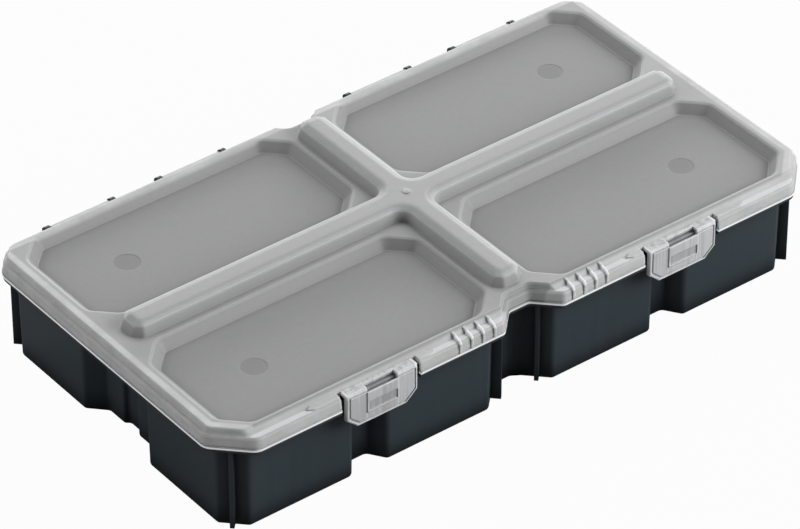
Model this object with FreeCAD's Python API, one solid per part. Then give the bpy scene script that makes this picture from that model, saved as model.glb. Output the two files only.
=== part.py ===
import FreeCAD, Part
import math
import os

# Tool organizer box: a black moulded tub with four compartments, a frosted lid on four hinge pins,
# and two clear latches. Millimetres, +Z up, latches towards -Y, hinges towards +Y.
# The origin lies on the surface that the box stands on, under the middle of the whole box.

Vector = FreeCAD.Vector

# Whole box
lid_length = 300.0
front_reach = 82.6
rear_reach = 77.1
rim_height = 42.6
middle_gap = 1.6
running_gap = 0.3
overrun = 5.0
least_round = 0.25

# Plan of the lid
lid_corner = 14.8
lid_corner_round = 6.0
lid_rear_corner = 7.4
lid_rear_corner_round = 8.0
front_notch_half = 5.0
front_notch_depth = 9.9
rear_notch_half = 5.4
rear_notch_mouth_half = 9.4
rear_notch_depth = 4.0
notch_round = 3.0

# Section of the lid's edge, heights above its lower rim
bead_height = 1.3
groove_top = 1.9
groove_inset = 0.45
face_inset = 0.25
face_top = 5.4
face_top_inset = 0.7
ledge_height = 6.2
ledge_edge_inset = 1.5
deck_height = 8.85
deck_foot_inset = 1.9
deck_inset = 2.3
deck_round = 0.5
front_ledge_foot = 2.1
front_ledge_top = 3.7
lid_wall = 1.6
skirt_wall = 1.5

# Sunken panels in the deck
panel_inner_x = 10.35
panel_side_margin = 7.9
panel_front_margin = 7.5
panel_rear_margin = 4.5
front_panel_far_y = -11.1
rear_panel_near_y = 10.9
panel_corner = 10.3
panel_corner_round = 6.5
panel_depth = 4.6
panel_run = 3.7
panel_edge_break = 0.6
panel_foot_round = 0.9
panel_mark_radius = 5.5
panel_mark_depth = 0.08
mark_inset_x = 34.0

# Cross-shaped rib
rib_line_y = -0.1
long_rib_margin = 11.7
short_rib_front_margin = 14.5
short_rib_rear_margin = 10.0
rib_half = 7.6
rib_nose_cut = 3.7
rib_nose_round = 2.2
rib_hub_round = 4.5
rib_shoulder_height = 4.7
rib_shoulder_inset = 1.6
rib_crown_foot_inset = 2.3
rib_crown_side_inset = 2.7
rib_crown_inset = 4.7
rib_height = 6.1
rib_crown_brow = 0.9
rib_hollow_foot_inset = 1.9
rib_hollow_top_inset = 5.2
rib_hollow_nose_cut = 5.4
gate_mark_radius = 1.5
gate_mark_height = 0.3

# Gussets and pads on the front ledge
gusset_first_x = 19.9
gusset_pitch = 5.7
gusset_count = 4
gusset_thickness = 1.2
gusset_top_drop = 0.5
gusset_ledge_rise = 0.5
pad_rise = 0.5
pad_inner_reach = 8.0
pad_outer_reach = 15.0
pad_point = 3.0

# Latches
slot_half = 19.2
latch_half = 17.3
latch_wall = 1.4
latch_corner_x = 5.4
latch_corner_z = 4.8
latch_drop = 10.2
latch_front_proud = 0.5
latch_side_wall = 1.2
latch_side_depth = 2.0
latch_edge_round = 1.0
latch_brow_round = 1.8
fold_radius = 0.7
fold_back = 3.3
fold_gap = 0.3
window_half = 7.4
window_lip = 0.8
window_pocket_depth = 4.2
latch_groove_inset = 1.1
latch_groove_width = 0.7
latch_groove_depth = 0.5
block_proud = 0.5
block_half = 7.6
block_top_drop = 2.0
block_bottom_rise = 5.2
grip_half = 7.0
grip_top_drop = 6.8
grip_height = 4.3
grip_depth = 0.45
catch_half = 14.0
catch_bite = 0.8
catch_height = 1.3
catch_gap = 0.4

# Tub
tub_side_inset = 7.0
tub_front_inset = 8.0
tub_rear_inset = 1.4
tub_draft = 0.6
tub_wall = 1.9
tub_floor = 2.0
tub_corner = 9.2
tub_rear_corner = 7.8
tub_corner_round = 2.5
tub_bottom_round = 1.8
divider_wall = 2.0
divider_line_y = 0.9
divider_top = 6.4
divider_end_inset = 4.4
finger_mouth_half = 8.9
finger_back_half = 3.7
finger_depth = 7.6
finger_round = 2.4
middle_mouth_half = 16.4
middle_waist_half = 7.4
middle_back_half = 3.6
middle_depth = 11.4
middle_fin_run = 4.4
side_line_y = 1.7
side_mouth_half = 22.3
side_back_half = 15.0
side_depth = 7.0
side_channel_half = 3.4
side_channel_mouth_half = 5.0
side_channel_depth = 2.0
side_round = 2.5
rear_mouth_half = 13.0
rear_back_half = 8.5
rear_depth = 5.0
fin_thickness = 1.8
fin_proud = 4.4
fin_bottom = 2.2

# Rim of the tub, which the lid's skirt closes over
flange_thickness = 1.2
flange_inset = 0.4
rim_wall = 1.5
rim_top = 4.2

# Hinges
hinge_back = 4.1
hinge_rise = 1.2
ear_outer_x = 43.5
ear_inner_x = 11.7
ear_thickness = 2.4
ear_radius = 2.4
ear_root_drop = 9.0
pin_radius = 1.0
pin_seat_clearance = 0.02
knuckle_clearance = 0.05
knuckle_radius = 1.8
knuckle_web_top = 1.2
knuckle_web_bottom = 0.4

# Places that follow from the sizes above
half_length = lid_length / 2
unit_x = (half_length + middle_gap) / 2
panel_outer_x = half_length - panel_side_margin
front_panel_near_y = panel_front_margin - front_reach
rear_panel_far_y = rear_reach - panel_rear_margin
long_rib_reach = half_length - long_rib_margin
tub_half_length = half_length - tub_side_inset
tub_front = front_reach - tub_front_inset
tub_rear = rear_reach - tub_rear_inset
channel_round = 1.1 * tub_bottom_round
shelf_top = rim_height - running_gap
shelf_bottom = shelf_top - flange_thickness
deck_z = rim_height + deck_height
ledge_z = rim_height + ledge_height
pad_z = ledge_z + pad_rise
panel_lean = panel_run / panel_depth
panel_wall_across = lid_wall * math.hypot(1, panel_lean)
hinge_y = rear_reach + hinge_back
hinge_z = rim_height + hinge_rise
fold_y = -front_reach + fold_back
fold_z = pad_z - fold_radius
latch_front_y = -front_reach - latch_front_proud
latch_bottom_z = rim_height - latch_drop
catch_face_y = latch_front_y + latch_side_depth + catch_gap


def unit_direction(start, end):
    """Unit vector from one plan point to another."""
    length = math.hypot(end[0] - start[0], end[1] - start[1])
    return (end[0] - start[0]) / length, (end[1] - start[1]) / length


def inset_corners(corners, inset):
    """Move each side of an anticlockwise outline inwards. A corner is (x, y, rounding radius)."""
    moved = []
    for index, (x, y, radius) in enumerate(corners):
        before = unit_direction(corners[index - 1], (x, y))
        after = unit_direction((x, y), corners[(index + 1) % len(corners)])
        share = 1 + before[0] * after[0] + before[1] * after[1]
        new_x = x - (before[1] + after[1]) * inset / share
        new_y = y + (before[0] + after[0]) * inset / share
        outward = before[0] * after[1] - before[1] * after[0] > 0
        new_radius = radius - inset if outward else radius + inset
        moved.append((new_x, new_y, max(new_radius, least_round) if radius > 0 else 0))
    return moved


def outline_wire(corners, z):
    """Closed wire of lines and rounded corners at one height."""
    tangent_share = 0.45
    stretches = []
    for index, (x, y, radius) in enumerate(corners):
        before_corner = corners[index - 1]
        after_corner = corners[(index + 1) % len(corners)]
        before = unit_direction(before_corner, (x, y))
        after = unit_direction((x, y), after_corner)
        if radius == 0:
            stretches.append((Vector(x, y, z), None, Vector(x, y, z)))
            continue
        turn = math.acos(before[0] * after[0] + before[1] * after[1])
        shorter = min(math.dist(before_corner[:2], (x, y)), math.dist((x, y), after_corner[:2]))
        tangent = min(radius * math.tan(turn / 2), tangent_share * shorter)
        arc_radius = tangent / math.tan(turn / 2)
        inward_x = after[0] - before[0]
        inward_y = after[1] - before[1]
        reach = arc_radius * (1 / math.cos(turn / 2) - 1) / math.hypot(inward_x, inward_y)
        stretches.append((
            Vector(x - before[0] * tangent, y - before[1] * tangent, z),
            Vector(x + inward_x * reach, y + inward_y * reach, z),
            Vector(x + after[0] * tangent, y + after[1] * tangent, z),
        ))
    edges = []
    for index, (start, middle, end) in enumerate(stretches):
        if middle is not None:
            edges.append(Part.Arc(start, middle, end).toShape())
        next_start = stretches[(index + 1) % len(stretches)][0]
        edges.append(Part.LineSegment(end, next_start).toShape())
    return Part.Wire(edges)


def plate(corners, bottom, top):
    """Upright solid with one outline."""
    return Part.Face(outline_wire(corners, bottom)).extrude(Vector(0, 0, top - bottom))


def taper(corners, bottom_inset, bottom, top_inset, top):
    """Solid whose outline changes evenly from bottom to top."""
    wires = [
        outline_wire(inset_corners(corners, bottom_inset), bottom),
        outline_wire(inset_corners(corners, top_inset), top),
    ]
    return Part.makeLoft(wires, True, True)


def box_between(low, high):
    """Box from its lowest to its highest corner."""
    return Part.makeBox(high[0] - low[0], high[1] - low[1], high[2] - low[2], Vector(*low))


def side_profile(points, left, right):
    """Solid drawn in the YZ plane and run along X from left to right."""
    corners = [Vector(left, y, z) for y, z in points]
    face = Part.Face(Part.makePolygon(corners + corners[:1]))
    return face.extrude(Vector(right - left, 0, 0))


def front_profile(points, front, back):
    """Solid drawn in the XZ plane and run along Y from front to back."""
    corners = [Vector(x, front, z) for x, z in points]
    face = Part.Face(Part.makePolygon(corners + corners[:1]))
    return face.extrude(Vector(0, back - front, 0))


def edges_at_height(shape, z):
    """Edges that lie wholly at one height."""
    tolerance = least_round / 100
    return [
        edge for edge in shape.Edges
        if abs(edge.BoundBox.ZMin - z) < tolerance and abs(edge.BoundBox.ZMax - z) < tolerance
    ]


def mirrored_x(shape):
    """Copy mirrored to the other half of the box."""
    return shape.mirror(Vector(0, 0, 0), Vector(1, 0, 0))


def lid_corners(front_step):
    """Plan of the lid, with its straight front edges set back by a step."""
    front = -front_reach + front_step
    mouth = front_notch_half + front_notch_depth - front_step
    right_half = [
        (front_notch_half, -front_reach + front_notch_depth, notch_round),
        (mouth, front, notch_round),
        (half_length - lid_corner + front_step, front, lid_corner_round),
        (half_length, -front_reach + lid_corner, lid_corner_round),
        (half_length, rear_reach - lid_rear_corner, lid_rear_corner_round),
        (half_length - lid_rear_corner, rear_reach, lid_rear_corner_round),
        (rear_notch_mouth_half, rear_reach, notch_round),
        (rear_notch_half, rear_reach - rear_notch_depth, notch_round),
    ]
    return right_half + [(-x, y, radius) for x, y, radius in reversed(right_half)]


def tub_corners():
    """Plan of the tub's outer wall at the floor, with its indents."""
    front = -tub_front
    waist_depth = middle_mouth_half - middle_waist_half
    side_back_x = tub_half_length - side_depth
    right_half = [
        (middle_back_half, front + middle_depth, finger_round),
        (middle_waist_half, front + waist_depth, finger_round),
        (middle_mouth_half, front, tub_corner_round),
        (unit_x - finger_mouth_half, front, finger_round),
        (unit_x - finger_back_half, front + finger_depth, finger_round),
        (unit_x + finger_back_half, front + finger_depth, finger_round),
        (unit_x + finger_mouth_half, front, finger_round),
        (tub_half_length - tub_corner, front, tub_corner_round),
        (tub_half_length, front + tub_corner, tub_corner_round),
        (tub_half_length, side_line_y - side_mouth_half, side_round),
        (side_back_x, side_line_y - side_back_half, side_round),
        (side_back_x, side_line_y - side_channel_mouth_half, channel_round),
        (side_back_x - side_channel_depth, side_line_y - side_channel_half, channel_round),
        (side_back_x - side_channel_depth, side_line_y + side_channel_half, channel_round),
        (side_back_x, side_line_y + side_channel_mouth_half, channel_round),
        (side_back_x, side_line_y + side_back_half, side_round),
        (tub_half_length, side_line_y + side_mouth_half, side_round),
        (tub_half_length, tub_rear - tub_rear_corner, tub_corner_round),
        (tub_half_length - tub_rear_corner, tub_rear, tub_corner_round),
        (rear_mouth_half, tub_rear, tub_corner_round),
        (rear_back_half, tub_rear - rear_depth, finger_round),
    ]
    return right_half + [(-x, y, radius) for x, y, radius in reversed(right_half)]


def cross_corners(nose_cut):
    """Plan of the foot of the cross-shaped rib, with the corners of its four ends cut off."""
    near = rib_line_y - rib_half
    far = rib_line_y + rib_half
    front_nose = short_rib_front_margin - front_reach
    rear_nose = rear_reach - short_rib_rear_margin
    right_half = [
        (rib_half - nose_cut, front_nose, rib_nose_round),
        (rib_half, front_nose + nose_cut, rib_nose_round),
        (rib_half, near, rib_hub_round),
        (long_rib_reach - nose_cut, near, rib_nose_round),
        (long_rib_reach, near + nose_cut, rib_nose_round),
        (long_rib_reach, far - nose_cut, rib_nose_round),
        (long_rib_reach - nose_cut, far, rib_nose_round),
        (rib_half, far, rib_hub_round),
        (rib_half, rear_nose - nose_cut, rib_nose_round),
        (rib_half - nose_cut, rear_nose, rib_nose_round),
    ]
    return right_half + [(-x, y, radius) for x, y, radius in reversed(right_half)]


def panel_corners(near_y, far_y):
    """Octagonal plan of a sunken panel in the right half of the deck."""
    left, right, cut = panel_inner_x, panel_outer_x, panel_corner
    plan = [
        (left + cut, near_y), (right - cut, near_y), (right, near_y + cut), (right, far_y - cut),
        (right - cut, far_y), (left + cut, far_y), (left, far_y - cut), (left, near_y + cut),
    ]
    return [(x, y, panel_corner_round) for x, y in plan]


def panel_recess(plan):
    """What a sunken panel takes out of the deck, with a rounded foot and a broken upper edge."""
    floor_z = deck_z - panel_depth
    above = overrun * panel_lean
    recess = taper(plan, panel_run, floor_z, -above, deck_z + overrun)
    recess = recess.makeFillet(panel_foot_round, edges_at_height(recess, floor_z))
    edge_start = deck_z - panel_edge_break
    flare = taper(plan, panel_edge_break * panel_lean, edge_start, -panel_edge_break, deck_z)
    return recess.fuse(flare)


def panel_shell(plan):
    """Wall and floor of a sunken panel, kept between its recess and the hollow of the lid."""
    floor_underside = deck_z - panel_depth - lid_wall
    bottom_inset = (panel_depth + lid_wall) * panel_lean - panel_wall_across
    return taper(plan, bottom_inset, floor_underside, -panel_wall_across, deck_z)


def panel_mark(plan):
    """Shallow round mark in the floor of a panel, towards its outer end."""
    near_y = min(y for x, y, radius in plan)
    far_y = max(y for x, y, radius in plan)
    floor_z = deck_z - panel_depth
    centre = Vector(panel_outer_x - mark_inset_x, (near_y + far_y) / 2, floor_z - panel_mark_depth)
    return Part.makeCylinder(panel_mark_radius, panel_mark_depth + panel_foot_round, centre)


def deck_stack():
    """Outside of the lid without its panels, gussets and latch slots."""
    plan = lid_corners(0)
    bead = plate(plan, rim_height, rim_height + bead_height)
    groove = plate(inset_corners(plan, groove_inset), rim_height + bead_height, rim_height + groove_top)
    face = taper(plan, face_inset, rim_height + groove_top, face_top_inset, rim_height + face_top)
    shoulder = taper(plan, face_top_inset, rim_height + face_top, ledge_edge_inset, ledge_z)
    foot = outline_wire(inset_corners(lid_corners(front_ledge_foot), deck_foot_inset), ledge_z)
    edge_plan = lid_corners(front_ledge_top)
    edge = outline_wire(inset_corners(edge_plan, deck_inset), deck_z - deck_round)
    deck = Part.makeLoft([foot, edge], True, True)
    brow = taper(edge_plan, deck_inset, deck_z - deck_round, deck_inset + deck_round, deck_z)
    return bead.multiFuse([groove, face, shoulder, deck, brow])


def cross_rib():
    """Raised cross: a low body, and a narrower crown with broken edges along its top."""
    plan = cross_corners(rib_nose_cut)
    shoulder_z = deck_z + rib_shoulder_height
    body = taper(plan, 0, deck_z - lid_wall / 2, rib_shoulder_inset, shoulder_z)
    crown_top = deck_z + rib_height
    brow_z = crown_top - rib_crown_brow
    crown = taper(plan, rib_crown_foot_inset, shoulder_z, rib_crown_side_inset, brow_z)
    brow = taper(plan, rib_crown_side_inset, brow_z, rib_crown_inset, crown_top)
    mark_base = Vector(0, rib_line_y, crown_top - lid_wall / 2)
    gate_mark = Part.makeCylinder(gate_mark_radius, lid_wall / 2 + gate_mark_height, mark_base)
    return body.multiFuse([crown, brow, gate_mark])


def lid_hollow(panel_shells):
    """Space under the lid: inside the skirt, under the deck and inside the rib."""
    skirt_plan = inset_corners(lid_corners(0), skirt_wall)
    inside_skirt = plate(skirt_plan, rim_height - overrun, ledge_z - lid_wall)
    deck_plan = inset_corners(lid_corners(front_ledge_foot), deck_foot_inset + lid_wall)
    under_deck = plate(deck_plan, ledge_z - lid_wall, deck_z - lid_wall)
    rib_top = deck_z + rib_height - lid_wall
    rib_plan = cross_corners(rib_hollow_nose_cut)
    in_rib = taper(rib_plan, rib_hollow_foot_inset, deck_z - lid_wall, rib_hollow_top_inset, rib_top)
    return inside_skirt.multiFuse([under_deck, in_rib]).cut(panel_shells)


def gussets():
    """Small fins on the front ledge, between the front notch and each latch."""
    ridge_y = -front_reach + front_ledge_top + deck_inset
    profile = [
        (ridge_y, ledge_z - lid_wall / 2),
        (ridge_y, deck_z - gusset_top_drop),
        (-front_reach + face_top_inset, ledge_z + gusset_ledge_rise),
        (-front_reach, rim_height + face_top),
        (-front_reach, rim_height + bead_height / 2),
        (-front_reach + skirt_wall / 2, rim_height + bead_height / 2),
        (-front_reach + skirt_wall, ledge_z - lid_wall / 2),
    ]
    fins = []
    for index in range(gusset_count):
        left = gusset_first_x + index * gusset_pitch - gusset_thickness / 2
        fin = side_profile(profile, left, left + gusset_thickness)
        fins += [fin, mirrored_x(fin)]
    return fins


def ledge_pads():
    """Raised pads with pointed ends on the front ledge, on both sides of each latch slot."""
    front = -front_reach + ledge_edge_inset
    back = -front_reach + front_ledge_foot + deck_foot_inset + pad_rise
    bottom = ledge_z - lid_wall / 2
    pads = []
    for direction, reach in ((-1, pad_inner_reach), (1, pad_outer_reach)):
        near_x = unit_x + direction * slot_half
        far_x = near_x + direction * reach
        shoulder_x = far_x - direction * pad_point
        point = (far_x, (front + back) / 2)
        plan = [(near_x, front), (shoulder_x, front), point, (shoulder_x, back), (near_x, back)]
        if direction < 0:
            plan.reverse()
        pad = plate([(x, y, 0) for x, y in plan], bottom, pad_z)
        pads += [pad, mirrored_x(pad)]
    return pads


def latch_slot():
    """Gap in the lid's front edge that the right latch hangs in."""
    back = fold_y + fold_radius + fold_gap
    low = (unit_x - slot_half, -front_reach - overrun, rim_height - overrun)
    high = (unit_x + slot_half, back, pad_z + pad_rise)
    return box_between(low, high)


def hinge_places():
    """Left and right ends of each hinge, measured between the middles of its two ears."""
    places = {}
    for side, centre in (("left", -unit_x), ("right", unit_x)):
        low = (centre - ear_outer_x, centre - ear_inner_x)
        high = (centre + ear_inner_x, centre + ear_outer_x)
        outer, inner = (low, high) if side == "left" else (high, low)
        places[f"{side}_outer"] = outer
        places[f"{side}_inner"] = inner
    return places


def along_x(radius, left, right):
    """Round bar along the hinge axis."""
    return Part.makeCylinder(radius, right - left, Vector(left, hinge_y, hinge_z), Vector(1, 0, 0))


def knuckles():
    """Barrels behind the lid that turn on the hinge pins, with the webs that carry them."""
    shapes = []
    for left_ear, right_ear in hinge_places().values():
        left = left_ear + ear_thickness / 2 + running_gap
        right = right_ear - ear_thickness / 2 - running_gap
        web_low = (left, rear_reach - skirt_wall / 2, hinge_z - knuckle_web_bottom)
        web_high = (right, hinge_y, hinge_z + knuckle_web_top)
        shapes += [along_x(knuckle_radius, left, right), box_between(web_low, web_high)]
    return shapes


def make_lid():
    """Frosted lid with its panels, rib, gussets, pads and hinge knuckles."""
    front_plan = panel_corners(front_panel_near_y, front_panel_far_y)
    rear_plan = panel_corners(rear_panel_near_y, rear_panel_far_y)
    shells, recesses = [], []
    for plan in (front_plan, rear_plan):
        shell = panel_shell(plan)
        recess = panel_recess(plan)
        mark = panel_mark(plan)
        shells += [shell, mirrored_x(shell)]
        recesses += [recess, mirrored_x(recess), mark, mirrored_x(mark)]
    outside = deck_stack().cut(recesses).fuse(cross_rib())
    shell = outside.cut(lid_hollow(shells))
    shell = shell.multiFuse(gussets() + ledge_pads() + knuckles())
    slot = latch_slot()
    bores = [along_x(pin_radius + knuckle_clearance, -half_length, half_length)]
    return shell.cut([slot, mirrored_x(slot)] + bores).removeSplitter()


def latch_face(inset):
    """Front outline of a latch about its own middle, drawn in X and Z."""
    side = latch_half - inset
    top = pad_z - inset
    bottom = latch_bottom_z + inset
    corner_shift = inset * math.tan(math.pi / 8)
    corner_x = side - latch_corner_x + corner_shift
    corner_z = bottom + latch_corner_z - corner_shift
    return [
        (-side, top), (-side, corner_z), (-corner_x, bottom),
        (corner_x, bottom), (side, corner_z), (side, top),
    ]


def latch_groove():
    """Fine groove that runs down both sides and along the foot of a latch's front."""
    front = latch_front_y
    bottom = front + latch_groove_depth
    ring = front_profile(latch_face(latch_groove_inset), front - overrun, bottom)
    core = front_profile(latch_face(latch_groove_inset + latch_groove_width), front - overrun, bottom)
    low = (-latch_half, front - overrun, pad_z - latch_wall)
    open_top = box_between(low, (latch_half, bottom, pad_z + overrun))
    return ring.cut([core, open_top])


def latch_shell():
    """Front plate of a latch with its side walls and its top."""
    front = latch_front_y
    body = front_profile(latch_face(0), front, front + latch_side_depth)
    brow = [edge for edge in edges_at_height(body, pad_z) if edge.BoundBox.YMax < front + least_round]
    body = body.makeFillet(latch_brow_round, brow)
    front_edges = [edge for edge in body.Edges if edge.BoundBox.YMax < front + least_round]
    body = body.makeFillet(latch_edge_round, front_edges)
    room_half = latch_half - latch_side_wall
    room_low = (-room_half, front + latch_wall, latch_bottom_z - overrun)
    body = body.cut(box_between(room_low, (room_half, front + overrun, pad_z - latch_wall)))
    top_low = (-latch_half, front + latch_wall / 2, pad_z - latch_wall)
    return body.fuse(box_between(top_low, (latch_half, fold_y, pad_z)))


def make_latch(centre_x):
    """Clear latch: fold bead, top with a window, front plate with a grip, side walls and a catch."""
    front = latch_front_y
    bead_start = Vector(-latch_half, fold_y, fold_z)
    bead = Part.makeCylinder(fold_radius, 2 * latch_half, bead_start, Vector(1, 0, 0))
    block_low = (-block_half, front - block_proud, latch_bottom_z + block_bottom_rise)
    block = box_between(block_low, (block_half, front + latch_wall, pad_z - block_top_drop))
    catch_top = shelf_bottom - catch_gap
    catch_low = (-catch_half, front + latch_wall / 2, catch_top - catch_height)
    catch = box_between(catch_low, (catch_half, catch_face_y + catch_bite, catch_top))
    window_low = (-window_half, front - overrun, pad_z - block_top_drop)
    window = box_between(window_low, (window_half, fold_y - fold_radius, pad_z + overrun))
    pocket_low = (-window_half, front - block_proud + window_lip, pad_z - window_pocket_depth)
    pocket = box_between(pocket_low, (window_half, front + latch_side_depth, pad_z))
    grip_top = pad_z - grip_top_drop
    grip_low = (-grip_half, front - block_proud - overrun, grip_top - grip_height)
    grip = box_between(grip_low, (grip_half, front - block_proud + grip_depth, grip_top))
    body = latch_shell().cut(latch_groove()).multiFuse([bead, block, catch])
    latch = body.cut([window, pocket, grip]).removeSplitter()
    latch.translate(Vector(centre_x, 0, 0))
    return latch


def fin(corner_x, corner_y, away_x, away_y):
    """Thin upright fin that stands out squarely from the middle of a 45 degree wall."""
    half = fin_thickness / 2
    plan = [(-tub_wall / 2, -half), (fin_proud, -half), (fin_proud, half), (-tub_wall / 2, half)]
    upright = plate([(x, y, 0) for x, y in plan], fin_bottom, shelf_top - flange_thickness / 2)
    upright.rotate(Vector(0, 0, 0), Vector(0, 0, 1), math.degrees(math.atan2(away_y, away_x)))
    upright.translate(Vector(corner_x, corner_y, 0))
    return upright


def fins():
    """Fins on the four outer corners and on the two corners beside the front indent."""
    right = [
        fin(tub_half_length - tub_corner / 2, -tub_front + tub_corner / 2, 1, -1),
        fin(tub_half_length - tub_rear_corner / 2, tub_rear - tub_rear_corner / 2, 1, 1),
        fin(middle_mouth_half - middle_fin_run, -tub_front + middle_fin_run, -1, -1),
    ]
    return right + [mirrored_x(shape) for shape in right]


def hinge_ears():
    """Upright ears behind the tub that hold the ends of the hinge pins."""
    wall_y = tub_rear + tub_draft - tub_wall / 2
    root_top = shelf_top - flange_thickness / 2
    root_bottom = rim_height - ear_root_drop
    lean = ear_radius * math.sin(math.pi / 4)
    profile = [
        (wall_y, root_top), (wall_y, root_bottom), (wall_y + tub_wall, root_bottom),
        (hinge_y + lean, hinge_z - lean), (hinge_y, hinge_z),
        (hinge_y - ear_radius, hinge_z), (hinge_y - ear_radius, root_top),
    ]
    ears = []
    for left_ear, right_ear in hinge_places().values():
        for centre in (left_ear, right_ear):
            left = centre - ear_thickness / 2
            right = centre + ear_thickness / 2
            ears += [side_profile(profile, left, right), along_x(ear_radius, left, right)]
    return ears


def tub_rim():
    """Flange under the lid's skirt and the upright rim inside it."""
    plan = lid_corners(0)
    flange = plate(inset_corners(plan, flange_inset), shelf_bottom, shelf_top)
    rim_inset = skirt_wall + running_gap
    rim = plate(inset_corners(plan, rim_inset), shelf_bottom, rim_height + rim_top)
    inner_plan = inset_corners(plan, rim_inset + rim_wall)
    rim = rim.cut(plate(inner_plan, shelf_top, rim_height + rim_top + overrun))
    relief_low = (unit_x - slot_half, -front_reach - overrun, shelf_bottom - overrun)
    relief = box_between(relief_low, (unit_x + slot_half, catch_face_y, rim_height + rim_top + overrun))
    return flange.fuse(rim).cut([relief, mirrored_x(relief)])


def divider_walls(hollow):
    """Cross of walls between the four compartments, a little higher than the rim in the middle."""
    half = divider_wall / 2
    reach = half_length + overrun
    bottom = tub_floor / 2
    top = rim_height + divider_top + overrun
    walls = [
        box_between((-reach, divider_line_y - half, bottom), (reach, divider_line_y + half, top)),
        box_between((-half, -reach, bottom), (half, reach, top)),
    ]
    plan = lid_corners(0)
    middle_of_rim = skirt_wall + running_gap + rim_wall / 2
    rim_inside = plate(inset_corners(plan, middle_of_rim), shelf_bottom, rim_height + rim_top)
    upper_inside = plate(inset_corners(plan, divider_end_inset), shelf_bottom, rim_height + divider_top)
    inside = hollow.multiFuse([rim_inside, upper_inside])
    return [wall.common(inside) for wall in walls]


def make_tub():
    """Black tub with four compartments, indents, fins, rim and hinge ears."""
    plan = tub_corners()
    body = taper(plan, 0, 0, -tub_draft, shelf_bottom)
    body = body.makeFillet(tub_bottom_round, edges_at_height(body, 0))
    hollow = taper(plan, tub_wall, tub_floor, tub_wall - tub_draft, shelf_top)
    outside = body.multiFuse([tub_rim()] + fins() + hinge_ears())
    tub = outside.cut(hollow).multiFuse(divider_walls(hollow))
    return tub.cut(along_x(pin_radius + pin_seat_clearance, -half_length, half_length)).removeSplitter()


def make_pin(left_ear, right_ear):
    """Round hinge pin from the outside of one ear to the outside of the other."""
    return along_x(pin_radius, left_ear - ear_thickness / 2, right_ear + ear_thickness / 2)


def save(name, shape):
    """Write one node and print its size."""
    solid = shape.Solids[0] if len(shape.Solids) == 1 else shape
    solid.exportStep(os.path.join("parts", name + ".step"))
    print(name, "solids", len(shape.Solids), "valid", shape.isValid(), "volume", round(shape.Volume, 1))


os.makedirs("parts", exist_ok=True)
save("tub", make_tub())
save("lid", make_lid())
save("latch_left", make_latch(-unit_x))
save("latch_right", make_latch(unit_x))
for place, (left_ear, right_ear) in hinge_places().items():
    save("hinge_pin_" + place, make_pin(left_ear, right_ear))
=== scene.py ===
import bpy
import math
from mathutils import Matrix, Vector


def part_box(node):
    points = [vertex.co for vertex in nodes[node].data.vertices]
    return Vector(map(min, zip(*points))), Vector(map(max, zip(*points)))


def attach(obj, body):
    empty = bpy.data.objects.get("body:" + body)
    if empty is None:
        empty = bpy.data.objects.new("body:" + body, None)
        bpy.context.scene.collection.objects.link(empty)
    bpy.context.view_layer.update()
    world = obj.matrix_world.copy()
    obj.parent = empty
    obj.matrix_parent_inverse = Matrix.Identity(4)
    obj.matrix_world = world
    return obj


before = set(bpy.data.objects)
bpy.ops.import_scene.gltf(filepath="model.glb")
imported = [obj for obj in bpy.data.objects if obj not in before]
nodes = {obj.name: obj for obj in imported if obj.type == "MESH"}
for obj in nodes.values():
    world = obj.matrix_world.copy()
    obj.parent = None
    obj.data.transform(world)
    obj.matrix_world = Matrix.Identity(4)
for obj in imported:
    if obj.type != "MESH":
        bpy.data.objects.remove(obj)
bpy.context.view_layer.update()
bpy.ops.object.select_all(action="DESELECT")

MM = 0.001
TUB_BLACK = (0.0350, 0.0470, 0.0560)
# Painted highlight colour for the tub's edges, then painted shade colour for its creases
TUB_EDGE_HIGHLIGHT = (0.045, 0.054, 0.062)
TUB_CREASE_SHADE = (0.001, 0.0018, 0.0022)
LID_GREY = (0.385, 0.386, 0.387)
# Painted highlight colour for the lid's edges, gussets and pad tops, then painted shade colour for its
# creases
LID_EDGE_HIGHLIGHT = (0.73, 0.75, 0.765)
LID_CREASE_SHADE = (0.09, 0.091, 0.092)
# Darker grey for the thin lid plastic behind the latches: painted shade
THIN_SHADED_GREY = (0.36, 0.375, 0.38)
LATCH_CLEAR = (0.56, 0.575, 0.585)
# Painted highlight colour for the latch's rim, then painted shade colour for its creases
LATCH_EDGE_HIGHLIGHT = (0.90, 0.91, 0.91)
LATCH_CREASE_SHADE = (0.38, 0.385, 0.39)
PIN_STEEL = (0.42, 0.42, 0.43)
# Colour of the painted glow on the lid's lower bead and gussets
PAINTED_EDGE_GLOW = (0.96, 0.98, 1.0)

# Places on the lid: rises from its lowest point, x and y in the shared frame
lid_low, lid_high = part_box("lid")
floor_rise = 4.25 * MM
floor_full = 0.3 * MM
floor_end = 0.9 * MM
floor_below = 0.5 * MM
bead_rise = 1.3 * MM
bead_fade = 0.15 * MM
band_width = 6.3 * MM
band_fade = 1.2 * MM
lid_edge_rear_y = 77.1 * MM
knuckle_margin = 0.5 * MM
lid_front_corner = 14.8 * MM
mark_x = 108.1 * MM
mark_front_y = -43.1 * MM
mark_rear_y = 41.75 * MM
mark_radius = 5.5 * MM
mark_full = mark_radius - 2.2 * MM
mark_end = mark_radius + 0.3 * MM
mark_rim_full = mark_radius + 1.5 * MM
mark_rim_end = mark_radius + 2.5 * MM
ledge_rise = 6.2 * MM
deck_rise = 8.85 * MM
pad_rise = 0.5 * MM
gusset_first_x = 19.9 * MM
gusset_pitch = 5.7 * MM
gusset_last_step = 3.0
gusset_full = 0.65 * MM
gusset_end = 0.9 * MM
ledge_depth = 3.5 * MM
ledge_end = 4.1 * MM
same_height = 0.1 * MM
other_height = 0.25 * MM
crown_start = 2.0 * MM
crown_full = 4.0 * MM

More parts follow.
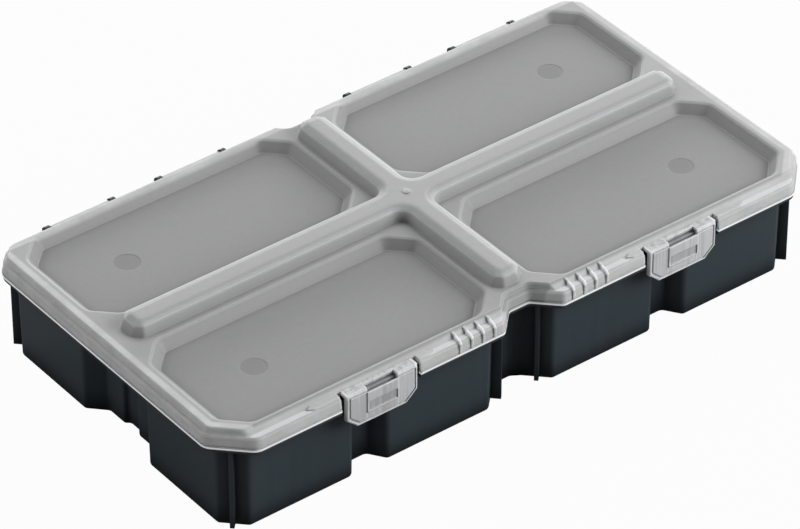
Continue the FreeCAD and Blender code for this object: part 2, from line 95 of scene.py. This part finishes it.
# How much lighter or darker than the lid's grey each of its places is: floors and marks in their own tone,
# the outer band and lower bead lighter by painted light, which the band's slopes and the front ledge get less
# of, the panel walls darker by painted shade
floor_tone = -0.46
mark_tone = -0.04
band_light_tone = 0.40
band_wall_light_cut = -0.16
ledge_light_cut = -0.20
bead_light_tone = 0.80
panel_wall_shade_tone = -0.20

# Sizes on a latch, from its middle, its outline or its foot
latch_low, latch_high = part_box("latch_right")
latch_corner_x = 5.4 * MM
latch_corner_z = 4.8 * MM
rim_full = 0.85 * MM
rim_end = 1.25 * MM
block_half_width = 7.6 * MM
block_side_full = 0.15 * MM
block_side_end = 0.45 * MM
block_side_highlight_share = 0.6
grip_low = 5.8 * MM
grip_high = 10.1 * MM
grip_fade = 0.3 * MM
grip_foot_fade = 0.5 * MM
grip_full = 6.5 * MM
grip_end = 7.3 * MM


# Small helpers that build shader trees

def feed(tree, target, value):
    """Link a socket into an input, or set the input to a plain value."""
    if isinstance(value, bpy.types.NodeSocket):
        tree.links.new(value, target)
    else:
        target.default_value = value


def calc(tree, operation, *values):
    """Math node on sockets or numbers; gives its result."""
    node = tree.nodes.new("ShaderNodeMath")
    node.operation = operation
    for target, value in zip(node.inputs, values):
        feed(tree, target, value)
    return node.outputs["Value"]


def ease(tree, value, start, end, low=0.0, high=1.0):
    """Smooth change from low to high while the value goes from start to end."""
    node = tree.nodes.new("ShaderNodeMapRange")
    node.interpolation_type = "SMOOTHSTEP"
    feed(tree, node.inputs["Value"], value)
    for label, number in (("From Min", start), ("From Max", end), ("To Min", low), ("To Max", high)):
        feed(tree, node.inputs[label], number)
    return node.outputs["Result"]


def product(tree, first, *others):
    """Numbers or sockets multiplied together."""
    for other in others:
        first = calc(tree, "MULTIPLY", first, other)
    return first


def shifted(tree, mask, change, start=1.0):
    """Start value, changed where the mask is on."""
    return calc(tree, "MULTIPLY_ADD", mask, change, start)


def split(tree, vector):
    """The three numbers of a place or a direction."""
    node = tree.nodes.new("ShaderNodeSeparateXYZ")
    tree.links.new(vector, node.inputs["Vector"])
    return node.outputs["X"], node.outputs["Y"], node.outputs["Z"]


def scaled(tree, colour, factor):
    """Colour made lighter or darker by a factor."""
    node = tree.nodes.new("ShaderNodeVectorMath")
    node.operation = "SCALE"
    feed(tree, node.inputs[0], colour)
    feed(tree, node.inputs["Scale"], factor)
    return node.outputs["Vector"]


def blended(tree, factor, first, second):
    """Colour between two colours."""
    node = tree.nodes.new("ShaderNodeMix")
    node.data_type = "RGBA"
    for index, value in ((0, factor), (6, first), (7, second)):
        feed(tree, node.inputs[index], value)
    return node.outputs[2]


def noise(tree, place, scale, detail=2.0, stretch=(1, 1, 1)):
    """Noise on object coordinates, stretched where asked."""
    mapping = tree.nodes.new("ShaderNodeMapping")
    mapping.inputs["Scale"].default_value = stretch
    tree.links.new(place, mapping.inputs["Vector"])
    node = tree.nodes.new("ShaderNodeTexNoise")
    node.inputs["Scale"].default_value = scale
    node.inputs["Detail"].default_value = detail
    tree.links.new(mapping.outputs["Vector"], node.inputs["Vector"])
    return node.outputs["Fac"]


def start_group(name, inputs, outputs):
    """New shader group with its sockets, and the nodes where they come in and go out."""
    group = bpy.data.node_groups.new(name, "ShaderNodeTree")
    for label, kind, value in inputs:
        made = group.interface.new_socket(name=label, in_out="INPUT", socket_type=kind)
        made.default_value = value
    for label, kind in outputs:
        group.interface.new_socket(name=label, in_out="OUTPUT", socket_type=kind)
    return group, group.nodes.new("NodeGroupInput"), group.nodes.new("NodeGroupOutput")


def moulded_skin_and_painted_light():
    """Moulding grain and flow streaks of moulded plastic, with a painted highlight on convex edges and
    painted shade in creases.
    """
    group, come, go = start_group(
        "moulded_skin_and_painted_light",
        [
            ("Colour", "NodeSocketColor", (0.5, 0.5, 0.5, 1)),
            ("Edge highlight colour", "NodeSocketColor", (0.8, 0.8, 0.8, 1)),
            ("Crease shade colour", "NodeSocketColor", (0.1, 0.1, 0.1, 1)),
            ("Edge highlight strength", "NodeSocketFloat", 1.0),
            ("Crease shade strength", "NodeSocketFloat", 1.0),
            ("Crease shade reach", "NodeSocketFloat", 0.005),
            ("Crease shade full at", "NodeSocketFloat", 0.40),
            ("Edge round", "NodeSocketFloat", 0.0005),
            ("Streak strength", "NodeSocketFloat", 0.05),
            ("Grain strength", "NodeSocketFloat", 0.05),
            ("Roughness", "NodeSocketFloat", 0.4),
        ],
        [
            ("Colour", "NodeSocketColor"),
            ("Roughness", "NodeSocketFloat"),
            ("Height", "NodeSocketFloat"),
            ("Normal", "NodeSocketVector"),
        ],
    )
    given = come.outputs
    place = group.nodes.new("ShaderNodeTexCoord").outputs["Object"]

    bevel = group.nodes.new("ShaderNodeBevel")
    bevel.samples = 6
    feed(group, bevel.inputs["Radius"], given["Edge round"])
    geometry = group.nodes.new("ShaderNodeNewGeometry")
    agree = group.nodes.new("ShaderNodeVectorMath")
    agree.operation = "DOT_PRODUCT"
    group.links.new(bevel.outputs["Normal"], agree.inputs[0])
    group.links.new(geometry.outputs["Normal"], agree.inputs[1])
    # Convex edges, where the rounded normal turns away from the true one, move towards the edge colour:
    # painted highlight
    turned = ease(group, agree.outputs["Value"], 0.995, 0.90)

    # Ambient occlusion pulls creases towards the crease colour: painted shade
    shade = group.nodes.new("ShaderNodeAmbientOcclusion")
    shade.samples = 6
    feed(group, shade.inputs["Distance"], given["Crease shade reach"])
    crease = ease(group, shade.outputs["AO"], 0.97, given["Crease shade full at"])
    outer = ease(group, shade.outputs["AO"], 0.70, 0.95)
    edge_highlight_share = product(group, turned, outer, given["Edge highlight strength"])
    crease_shade_share = product(group, crease, given["Crease shade strength"])

    cloud = noise(group, place, 14, 4.0)
    streak = noise(group, place, 1, 2.0, (420, 420, 16))
    mixed = product(group, calc(group, "ADD", cloud, streak), 0.5)
    uneven = ease(group, mixed, 0.3, 0.7, -1.0, 1.0)
    lightness = shifted(group, uneven, given["Streak strength"])
    base = scaled(group, given["Colour"], lightness)
    creased = blended(group, crease_shade_share, base, given["Crease shade colour"])
    group.links.new(blended(group, edge_highlight_share, creased, given["Edge highlight colour"]), go.inputs["Colour"])

    grain = noise(group, place, 2600, 3.0)
    group.links.new(product(group, grain, given["Grain strength"]), go.inputs["Height"])
    rough = shifted(group, uneven, 0.05, given["Roughness"])
    group.links.new(rough, go.inputs["Roughness"])
    group.links.new(bevel.outputs["Normal"], go.inputs["Normal"])
    return group


def lid_zones():
    """Masks of the lid's places, from the panel floors to the ribs and the outer band."""
    labels = ("Floor", "Mark", "Mark rim", "Band", "Bead", "Wall", "Gusset", "Pad", "Ledge", "Crown")
    group, _, go = start_group("lid_zones", [], [(label, "NodeSocketFloat") for label in labels])
    coordinates = group.nodes.new("ShaderNodeTexCoord").outputs
    sideways, depth, height = split(group, coordinates["Object"])
    across = calc(group, "ABSOLUTE", sideways)
    upward = split(group, coordinates["Normal"])[2]
    level = ease(group, upward, 0.85, 0.99)

    not_upright = ease(group, upward, 0.30, 0.45)
    not_level = ease(group, upward, 0.88, 0.80)
    group.links.new(product(group, not_upright, not_level), go.inputs["Wall"])

    floor_z = lid_low.z + floor_rise
    under_top = ease(group, height, floor_z + floor_end, floor_z + floor_full)
    over_underside = calc(group, "GREATER_THAN", height, floor_z - floor_below)
    floor = product(group, level, under_top, over_underside)
    group.links.new(floor, go.inputs["Floor"])

    marks, rims = [], []
    for mark_y in (mark_front_y, mark_rear_y):
        off_x = calc(group, "SUBTRACT", across, mark_x)
        off_y = calc(group, "SUBTRACT", depth, mark_y)
        squares = calc(group, "ADD", calc(group, "POWER", off_x, 2.0), calc(group, "POWER", off_y, 2.0))
        distance = calc(group, "SQRT", squares)
        marks.append(ease(group, distance, mark_end, mark_full))
        rims.append(ease(group, distance, mark_rim_end, mark_rim_full))
    group.links.new(product(group, calc(group, "MAXIMUM", *marks), floor), go.inputs["Mark"])
    group.links.new(calc(group, "MAXIMUM", *rims), go.inputs["Mark rim"])

    ledge_z = lid_low.z + ledge_rise
    to_front = calc(group, "SUBTRACT", depth, lid_low.y)
    over_ledge = calc(group, "GREATER_THAN", height, ledge_z - same_height)
    on_ledge = product(group, ease(group, to_front, ledge_end, ledge_depth), over_ledge)
    off_ledge = calc(group, "ABSOLUTE", calc(group, "SUBTRACT", height, ledge_z))
    ledge = product(group, ease(group, off_ledge, other_height, same_height), level)
    group.links.new(ledge, go.inputs["Ledge"])

    steps = calc(group, "DIVIDE", calc(group, "SUBTRACT", across, gusset_first_x), gusset_pitch)
    step_from_first = calc(group, "MAXIMUM", calc(group, "ROUND", steps), 0.0)
    nearest_step = calc(group, "MINIMUM", step_from_first, gusset_last_step)
    off_gusset = calc(group, "ABSOLUTE", calc(group, "SUBTRACT", steps, nearest_step))
    on_gusset = ease(group, off_gusset, gusset_end / gusset_pitch, gusset_full / gusset_pitch)
    group.links.new(product(group, on_gusset, on_ledge), go.inputs["Gusset"])

    off_pad = calc(group, "ABSOLUTE", calc(group, "SUBTRACT", height, ledge_z + pad_rise))
    on_pad = ease(group, off_pad, other_height, same_height)
    group.links.new(product(group, on_pad, level, on_ledge), go.inputs["Pad"])

    deck_top = lid_low.z + deck_rise
    crown = ease(group, height, deck_top + crown_start, deck_top + crown_full)
    group.links.new(crown, go.inputs["Crown"])

    to_side = calc(group, "SUBTRACT", lid_high.x, across)
    to_back = calc(group, "SUBTRACT", lid_edge_rear_y, depth)
    corner_line = calc(group, "SUBTRACT", calc(group, "ADD", to_side, to_front), lid_front_corner)
    to_front_corner = product(group, corner_line, math.sqrt(0.5))
    sides_in = calc(group, "MINIMUM", calc(group, "MINIMUM", to_side, to_front), to_back)
    inwards = calc(group, "MINIMUM", sides_in, to_front_corner)
    group.links.new(ease(group, inwards, band_width, band_width - band_fade), go.inputs["Band"])

    bead_z = lid_low.z + bead_rise
    off_knuckles = calc(group, "GREATER_THAN", to_back, -knuckle_margin)
    bead = product(group, ease(group, height, bead_z + bead_fade, bead_z), off_knuckles)
    group.links.new(bead, go.inputs["Bead"])
    return group


def latch_zones():
    """Masks of a latch: its outer rim and the sides of its block, and the grip patch on the block."""
    group, _, go = start_group("latch_zones", [], [("Rim", "NodeSocketFloat"), ("Grip", "NodeSocketFloat")])
    coordinates = group.nodes.new("ShaderNodeTexCoord").outputs
    sideways, _, height = split(group, coordinates["Object"])
    middle_x = (latch_low.x + latch_high.x) / 2
    half_width = (latch_high.x - latch_low.x) / 2
    off_middle = calc(group, "SUBTRACT", calc(group, "ABSOLUTE", sideways), middle_x)
    from_middle = calc(group, "ABSOLUTE", off_middle)
    to_side = calc(group, "SUBTRACT", half_width, from_middle)
    to_foot = calc(group, "SUBTRACT", height, latch_low.z)

    slope = math.hypot(latch_corner_x, latch_corner_z)
    corner_start = -latch_corner_x * latch_corner_z / slope
    leaning = shifted(group, to_foot, latch_corner_x / slope, corner_start)
    to_corner = shifted(group, to_side, latch_corner_z / slope, leaning)
    nearest = calc(group, "MINIMUM", calc(group, "MINIMUM", to_side, to_foot), to_corner)
    rim = ease(group, nearest, rim_end, rim_full)
    # The sides of the block join the rim mask for the painted highlight
    off_block_side = calc(group, "ABSOLUTE", calc(group, "SUBTRACT", from_middle, block_half_width))
    block_side = ease(group, off_block_side, block_side_end, block_side_full, 0.0, block_side_highlight_share)
    group.links.new(calc(group, "MAXIMUM", rim, block_side), go.inputs["Rim"])

    over_grip_foot = ease(group, to_foot, grip_low - grip_fade, grip_low + grip_foot_fade)
    under_grip_top = ease(group, to_foot, grip_high + grip_fade, grip_high - grip_fade)
    in_grip_width = ease(group, from_middle, grip_end, grip_full)
    group.links.new(product(group, over_grip_foot, under_grip_top, in_grip_width), go.inputs["Grip"])
    return group


skin = moulded_skin_and_painted_light()


# Finishes

def moulded(name, colour, edge, crease, specular, settings):
    """Material whose colour, roughness and relief come from the shared moulded skin, with its painted edge
    highlight and painted crease shade.
    """
    material = bpy.data.materials.new(name)
    material.use_nodes = True
    tree = material.node_tree
    shader = tree.nodes["Principled BSDF"]
    shader.inputs["Specular IOR Level"].default_value = specular
    surface = tree.nodes.new("ShaderNodeGroup")
    surface.node_tree = skin
    surface.inputs["Colour"].default_value = (*colour, 1)
    surface.inputs["Edge highlight colour"].default_value = (*edge, 1)
    surface.inputs["Crease shade colour"].default_value = (*crease, 1)
    for label, value in settings.items():
        surface.inputs[label].default_value = value
    bump = tree.nodes.new("ShaderNodeBump")
    bump.inputs["Strength"].default_value = 0.35
    bump.inputs["Distance"].default_value = 0.06 * MM
    tree.links.new(surface.outputs["Height"], bump.inputs["Height"])
    tree.links.new(surface.outputs["Normal"], bump.inputs["Normal"])
    tree.links.new(surface.outputs["Colour"], shader.inputs["Base Color"])
    tree.links.new(surface.outputs["Roughness"], shader.inputs["Roughness"])
    tree.links.new(bump.outputs["Normal"], shader.inputs["Normal"])
    return material, tree, shader, surface


def place_zones(tree, zones):
    """Put a group of masks into a material; gives its masks."""
    zone = tree.nodes.new("ShaderNodeGroup")
    zone.node_tree = zones
    return zone.outputs


def make_tub_plastic():
    """Satin black plastic with a blue cast, a faint painted highlight on its edges and deep painted shade in
    its creases and hollows.
    """
    settings = {
        "Edge highlight strength": 0.45, "Edge round": 0.6 * MM,
        "Crease shade strength": 0.95, "Crease shade reach": 13 * MM, "Crease shade full at": 0.46,
        "Streak strength": 0.06, "Grain strength": 1.0, "Roughness": 0.38,
    }
    return moulded("tub_plastic", TUB_BLACK, TUB_EDGE_HIGHLIGHT, TUB_CREASE_SHADE, 0.26, settings)[0]


def make_lid_plastic():
    """Frosted grey plastic: matte darker panel floors, painted light on an uneven outer band and the lower
    bead, painted shade on the panel walls and in creases, a painted highlight on edges, gussets and pad tops,
    and a painted glow on the bead and gussets.
    """
    settings = {"Crease shade reach": 5 * MM, "Streak strength": 0.03, "Grain strength": 1.0}
    material, tree, shader, surface = moulded("lid_plastic", LID_GREY, LID_EDGE_HIGHLIGHT, LID_CREASE_SHADE, 0.28, settings)
    zone = place_zones(tree, lid_zones())
    floor, band, crown = zone["Floor"], zone["Band"], zone["Crown"]

    place = tree.nodes.new("ShaderNodeTexCoord").outputs["Object"]
    # The outer band is lifted with uneven blotches, less on its slopes and the front ledge: painted light
    blotch = ease(tree, noise(tree, place, 110, 4.0, (0.6, 1, 2)), 0.36, 0.64, -0.08, 0.08)
    band_painted_light = shifted(tree, zone["Wall"], band_wall_light_cut, calc(tree, "ADD", blotch, band_light_tone))
    band_painted_light = shifted(tree, zone["Ledge"], ledge_light_cut, band_painted_light)
    # Floors and marks keep their own darker tone; the band and the lower bead are lightened by painted light
    shares = product(
        tree,
        shifted(tree, floor, floor_tone),
        shifted(tree, zone["Mark"], mark_tone),
        shifted(tree, band, band_painted_light),
        shifted(tree, zone["Bead"], bead_light_tone),
    )
    tree.links.new(scaled(tree, LID_GREY, shares), surface.inputs["Colour"])

    # Painted shade in creases: strongest on the panel floors at the foot of their walls, weaker by the marks,
    # on the outer band and on the rib crowns
    crease_shade_strength = product(
        tree,
        shifted(tree, floor, 0.55, 0.45),
        calc(tree, "SUBTRACT", 1.0, zone["Mark rim"]),
        shifted(tree, band, -0.9),
        shifted(tree, crown, -0.8),
    )
    tree.links.new(crease_shade_strength, surface.inputs["Crease shade strength"])
    tree.links.new(shifted(tree, floor, 0.36, 0.40), surface.inputs["Crease shade full at"])
    tree.links.new(shifted(tree, crown, 1.5 * MM, 1.2 * MM), surface.inputs["Edge round"])
    # Painted highlight on edges, faint on the panel floors
    tree.links.new(shifted(tree, floor, -0.75, 0.75), surface.inputs["Edge highlight strength"])
    tree.links.new(shifted(tree, floor, 0.34, 0.46), surface.inputs["Roughness"])

    # Sloping panel walls, away from the band and the rib crowns, are darkened: painted shade
    rounded = calc(tree, "MAXIMUM", band, crown)
    shaded_panel_wall = product(tree, zone["Wall"], calc(tree, "SUBTRACT", 1.0, rounded))
    plain = scaled(tree, surface.outputs["Colour"], shifted(tree, shaded_panel_wall, panel_wall_shade_tone))
    # Pad tops and gussets move towards the edge colour: painted highlight
    painted_highlight_share = shifted(tree, zone["Pad"], 0.85, product(tree, zone["Gusset"], 0.6))
    tree.links.new(blended(tree, painted_highlight_share, plain, (*LID_EDGE_HIGHLIGHT, 1)), shader.inputs["Base Color"])
    # The lower bead and the gussets give off light though they are no lamps: painted glow
    glow = shifted(tree, zone["Gusset"], 0.6, zone["Bead"])
    tree.links.new(scaled(tree, PAINTED_EDGE_GLOW, glow), shader.inputs["Emission Color"])
    shader.inputs["Emission Strength"].default_value = 0.24
    return material


def make_thin_lid_plastic():
    """The lid's plastic where it is thin, behind a latch over the black tub; its darker grey is painted
    shade.
    """
    settings = {
        "Edge highlight strength": 0.3, "Edge round": 0.2 * MM, "Crease shade strength": 0.1, "Crease shade reach": 2 * MM,
        "Streak strength": 0.08, "Grain strength": 1.0, "Roughness": 0.42,
    }
    return moulded("shaded_thin_lid_plastic", THIN_SHADED_GREY, LID_EDGE_HIGHLIGHT, LID_CREASE_SHADE, 0.5, settings)[0]


def make_latch_plastic():
    """Slightly see-through plastic, brighter than the lid, with flow streaks, a painted highlight on its rim
    and block sides, and painted shade in its grip recess.
    """
    settings = {
        "Edge highlight strength": 1.0, "Edge round": 0.8 * MM, "Crease shade strength": 0.2, "Crease shade reach": 2 * MM,
        "Streak strength": 0.24, "Grain strength": 0.4, "Roughness": 0.26,
    }
    material, tree, shader, surface = moulded(
        "latch_plastic", LATCH_CLEAR, LATCH_EDGE_HIGHLIGHT, LATCH_CREASE_SHADE, 0.55, settings)
    zone = place_zones(tree, latch_zones())
    # The grip recess is darkened: painted shade
    plain = scaled(tree, surface.outputs["Colour"], shifted(tree, zone["Grip"], -0.24))
    # The rim and the block sides move towards the edge colour: painted highlight
    rim_highlight_share = product(tree, zone["Rim"], 0.85)
    tree.links.new(blended(tree, rim_highlight_share, plain, (*LATCH_EDGE_HIGHLIGHT, 1)), shader.inputs["Base Color"])
    shader.inputs["Alpha"].default_value = 0.90
    return material


def make_pin_steel():
    """Drawn steel wire with a little unevenness."""
    material = bpy.data.materials.new("pin_steel")
    material.use_nodes = True
    tree = material.node_tree
    shader = tree.nodes["Principled BSDF"]
    place = tree.nodes.new("ShaderNodeTexCoord").outputs["Object"]
    rings = noise(tree, place, 1, 2.0, (1800, 200, 200))
    lightness = ease(tree, rings, 0.3, 0.7, 0.8, 1.1)
    tree.links.new(scaled(tree, PIN_STEEL, lightness), shader.inputs["Base Color"])
    tree.links.new(ease(tree, rings, 0.3, 0.7, 0.22, 0.42), shader.inputs["Roughness"])
    bump = tree.nodes.new("ShaderNodeBump")
    bump.inputs["Distance"].default_value = 0.02 * MM
    tree.links.new(rings, bump.inputs["Height"])
    tree.links.new(bump.outputs["Normal"], shader.inputs["Normal"])
    shader.inputs["Metallic"].default_value = 1.0
    return material


tub_plastic = make_tub_plastic()
lid_plastic = make_lid_plastic()
shaded_thin_lid_plastic = make_thin_lid_plastic()
latch_plastic = make_latch_plastic()
pin_steel = make_pin_steel()
finishes = {"tub": tub_plastic, "lid": lid_plastic, "latch_left": latch_plastic, "latch_right": latch_plastic}


def dress(thing, finish):
    """Give every face of a piece one finish."""
    if not thing.material_slots:
        thing.data.materials.append(finish)
    for place in thing.material_slots:
        place.material = finish


for name, node in nodes.items():
    dress(node, finishes.get(name, pin_steel))


# Pieces of the real box that the solids leave out

def fold_strip(latch_name):
    """Thin moulded strip that joins a latch to the lid along its fold, where the solids have a gap."""
    low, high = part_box(latch_name)
    fold_radius = 0.7 * MM
    strip_radius = 0.85 * MM
    behind_fold = 0.55 * MM
    below_fold = 0.1 * MM
    end_gap = 0.3 * MM
    centre = ((low.x + high.x) / 2, high.y - fold_radius + behind_fold, high.z - fold_radius - below_fold)
    bpy.ops.object.select_all(action="DESELECT")
    bpy.ops.mesh.primitive_cylinder_add(
        vertices=48, radius=strip_radius, depth=high.x - low.x - 2 * end_gap,
        location=centre, rotation=(0, math.pi / 2, 0),
    )
    strip = bpy.context.active_object
    strip.name = latch_name + "_fold_strip"
    bpy.ops.object.transform_apply(location=True, rotation=True, scale=True)
    bpy.ops.object.shade_smooth_by_angle(angle=math.radians(40))
    dress(strip, latch_plastic)
    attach(strip, latch_name)


def lid_skirt_behind(latch_name):
    """Thin skirt of the lid that hangs behind a latch, over the rim of the tub; it shows in the window."""
    low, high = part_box(latch_name)
    side_gap = 1.9 * MM
    ledge_below_top = 2.25 * MM
    ledge_rear = 0.6 * MM
    skirt_behind_lid_front = 1.65 * MM
    skirt_foot_rise = 9.6 * MM
    wall = 0.2 * MM
    rim_round = 0.08 * MM
    half_width = (high.x - low.x) / 2 - side_gap
    middle_x = (low.x + high.x) / 2
    rear_y = high.y + ledge_rear
    front_y = lid_low.y + skirt_behind_lid_front
    ledge_z = high.z - ledge_below_top
    drop = ledge_z - (low.z + skirt_foot_rise)
    bpy.ops.object.select_all(action="DESELECT")
    bpy.ops.mesh.primitive_plane_add(size=2, location=(middle_x, (front_y + rear_y) / 2, ledge_z))
    skirt = bpy.context.active_object
    skirt.name = latch_name.replace("latch", "lid_skirt_behind_latch")
    skirt.scale = (half_width, (rear_y - front_y) / 2, 1)
    bpy.ops.object.transform_apply(location=True, rotation=True, scale=True)
    bpy.ops.object.mode_set(mode="EDIT")
    bpy.ops.mesh.select_mode(type="EDGE")
    bpy.ops.mesh.select_all(action="DESELECT")
    bpy.ops.object.mode_set(mode="OBJECT")
    for edge in skirt.data.edges:
        ends = [skirt.data.vertices[corner].co.y for corner in edge.vertices]
        edge.select = max(ends) < front_y + 0.1 * MM
    bpy.ops.object.mode_set(mode="EDIT")
    bpy.ops.mesh.extrude_region_move(TRANSFORM_OT_translate={"value": (0, 0, -drop)})
    bpy.ops.mesh.select_all(action="SELECT")
    bpy.ops.mesh.normals_make_consistent(inside=False)
    bpy.ops.object.mode_set(mode="OBJECT")
    shell = skirt.modifiers.new("wall", "SOLIDIFY")
    shell.thickness = wall
    shell.offset = 0
    bpy.ops.object.modifier_apply(modifier=shell.name)
    edges = skirt.modifiers.new("edges", "BEVEL")
    edges.width = rim_round
    edges.segments = 2
    bpy.ops.object.modifier_apply(modifier=edges.name)
    dress(skirt, shaded_thin_lid_plastic)
    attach(skirt, "lid")


for latch in ("latch_left", "latch_right"):
    fold_strip(latch)
    lid_skirt_behind(latch)


# Floor, lamps and camera

def stage_floor():
    """Pale floor that shows nearly white to the camera and keeps a soft shadow."""
    bpy.ops.object.select_all(action="DESELECT")
    bpy.ops.mesh.primitive_plane_add(size=12, location=(0, 0, 0))
    floor = bpy.context.active_object
    floor.name = "floor"
    material = bpy.data.materials.new("floor_white")
    material.use_nodes = True
    tree = material.node_tree
    shader = tree.nodes["Principled BSDF"]
    shader.inputs["Base Color"].default_value = (0.32, 0.32, 0.32, 1)
    shader.inputs["Roughness"].default_value = 0.9
    shader.inputs["Specular IOR Level"].default_value = 0.0
    glow = tree.nodes.new("ShaderNodeEmission")
    glow.inputs["Strength"].default_value = 1.0
    path = tree.nodes.new("ShaderNodeLightPath")
    mixed = tree.nodes.new("ShaderNodeMixShader")
    seen = product(tree, path.outputs["Is Camera Ray"], 0.97)
    tree.links.new(seen, mixed.inputs["Fac"])
    tree.links.new(shader.outputs["BSDF"], mixed.inputs[1])
    tree.links.new(glow.outputs["Emission"], mixed.inputs[2])
    tree.links.new(mixed.outputs["Shader"], tree.nodes["Material Output"].inputs["Surface"])
    floor.data.materials.append(material)


def softbox(name, place, width, height, power):
    """Large area lamp turned towards the box."""
    lamp = bpy.data.lights.new(name, "AREA")
    lamp.shape = "RECTANGLE"
    lamp.size = width
    lamp.size_y = height
    lamp.energy = power
    holder = bpy.data.objects.new(name, lamp)
    bpy.context.scene.collection.objects.link(holder)
    holder.location = place
    aim = Vector((0, 0, 0.03)) - Vector(place)
    holder.rotation_euler = aim.to_track_quat("-Z", "Y").to_euler()


stage_floor()
softbox("overhead_softbox", (0.55, 0.70, 1.50), width=1.4, height=1.0, power=12)
softbox("rear_sweep", (1.05, 1.75, 0.44), width=2.8, height=0.8, power=37)
softbox("front_right_softbox", (1.24, -1.32, 0.90), width=1.8, height=1.3, power=43)
softbox("left_softbox", (-1.36, 0.72, 0.62), width=0.8, height=0.8, power=9)

world = bpy.data.worlds.new("studio_air")
bpy.context.scene.world = world
world.use_nodes = True
air = world.node_tree.nodes["Background"]
air.inputs["Color"].default_value = (1, 1, 1, 1)
air.inputs["Strength"].default_value = 0.10

camera_place = (-1.0260, -1.3240, 1.2867)
camera_lens = 232.8
camera_azimuth = math.radians(-37.686)
camera_elevation = math.radians(37.082)
camera_data = bpy.data.cameras.new("photo_camera")
camera_data.sensor_width = 36
camera_data.lens = camera_lens
camera_data.clip_start = 0.1
camera_data.clip_end = 30
camera = bpy.data.objects.new("photo_camera", camera_data)
bpy.context.scene.collection.objects.link(camera)
camera.location = camera_place
towards = Vector((
    -math.sin(camera_azimuth) * math.cos(camera_elevation),
    math.cos(camera_azimuth) * math.cos(camera_elevation),
    -math.sin(camera_elevation),
))
camera.rotation_euler = towards.to_track_quat("-Z", "Y").to_euler()
bpy.context.scene.camera = camera
bpy.context.scene.view_settings.view_transform = "Standard"
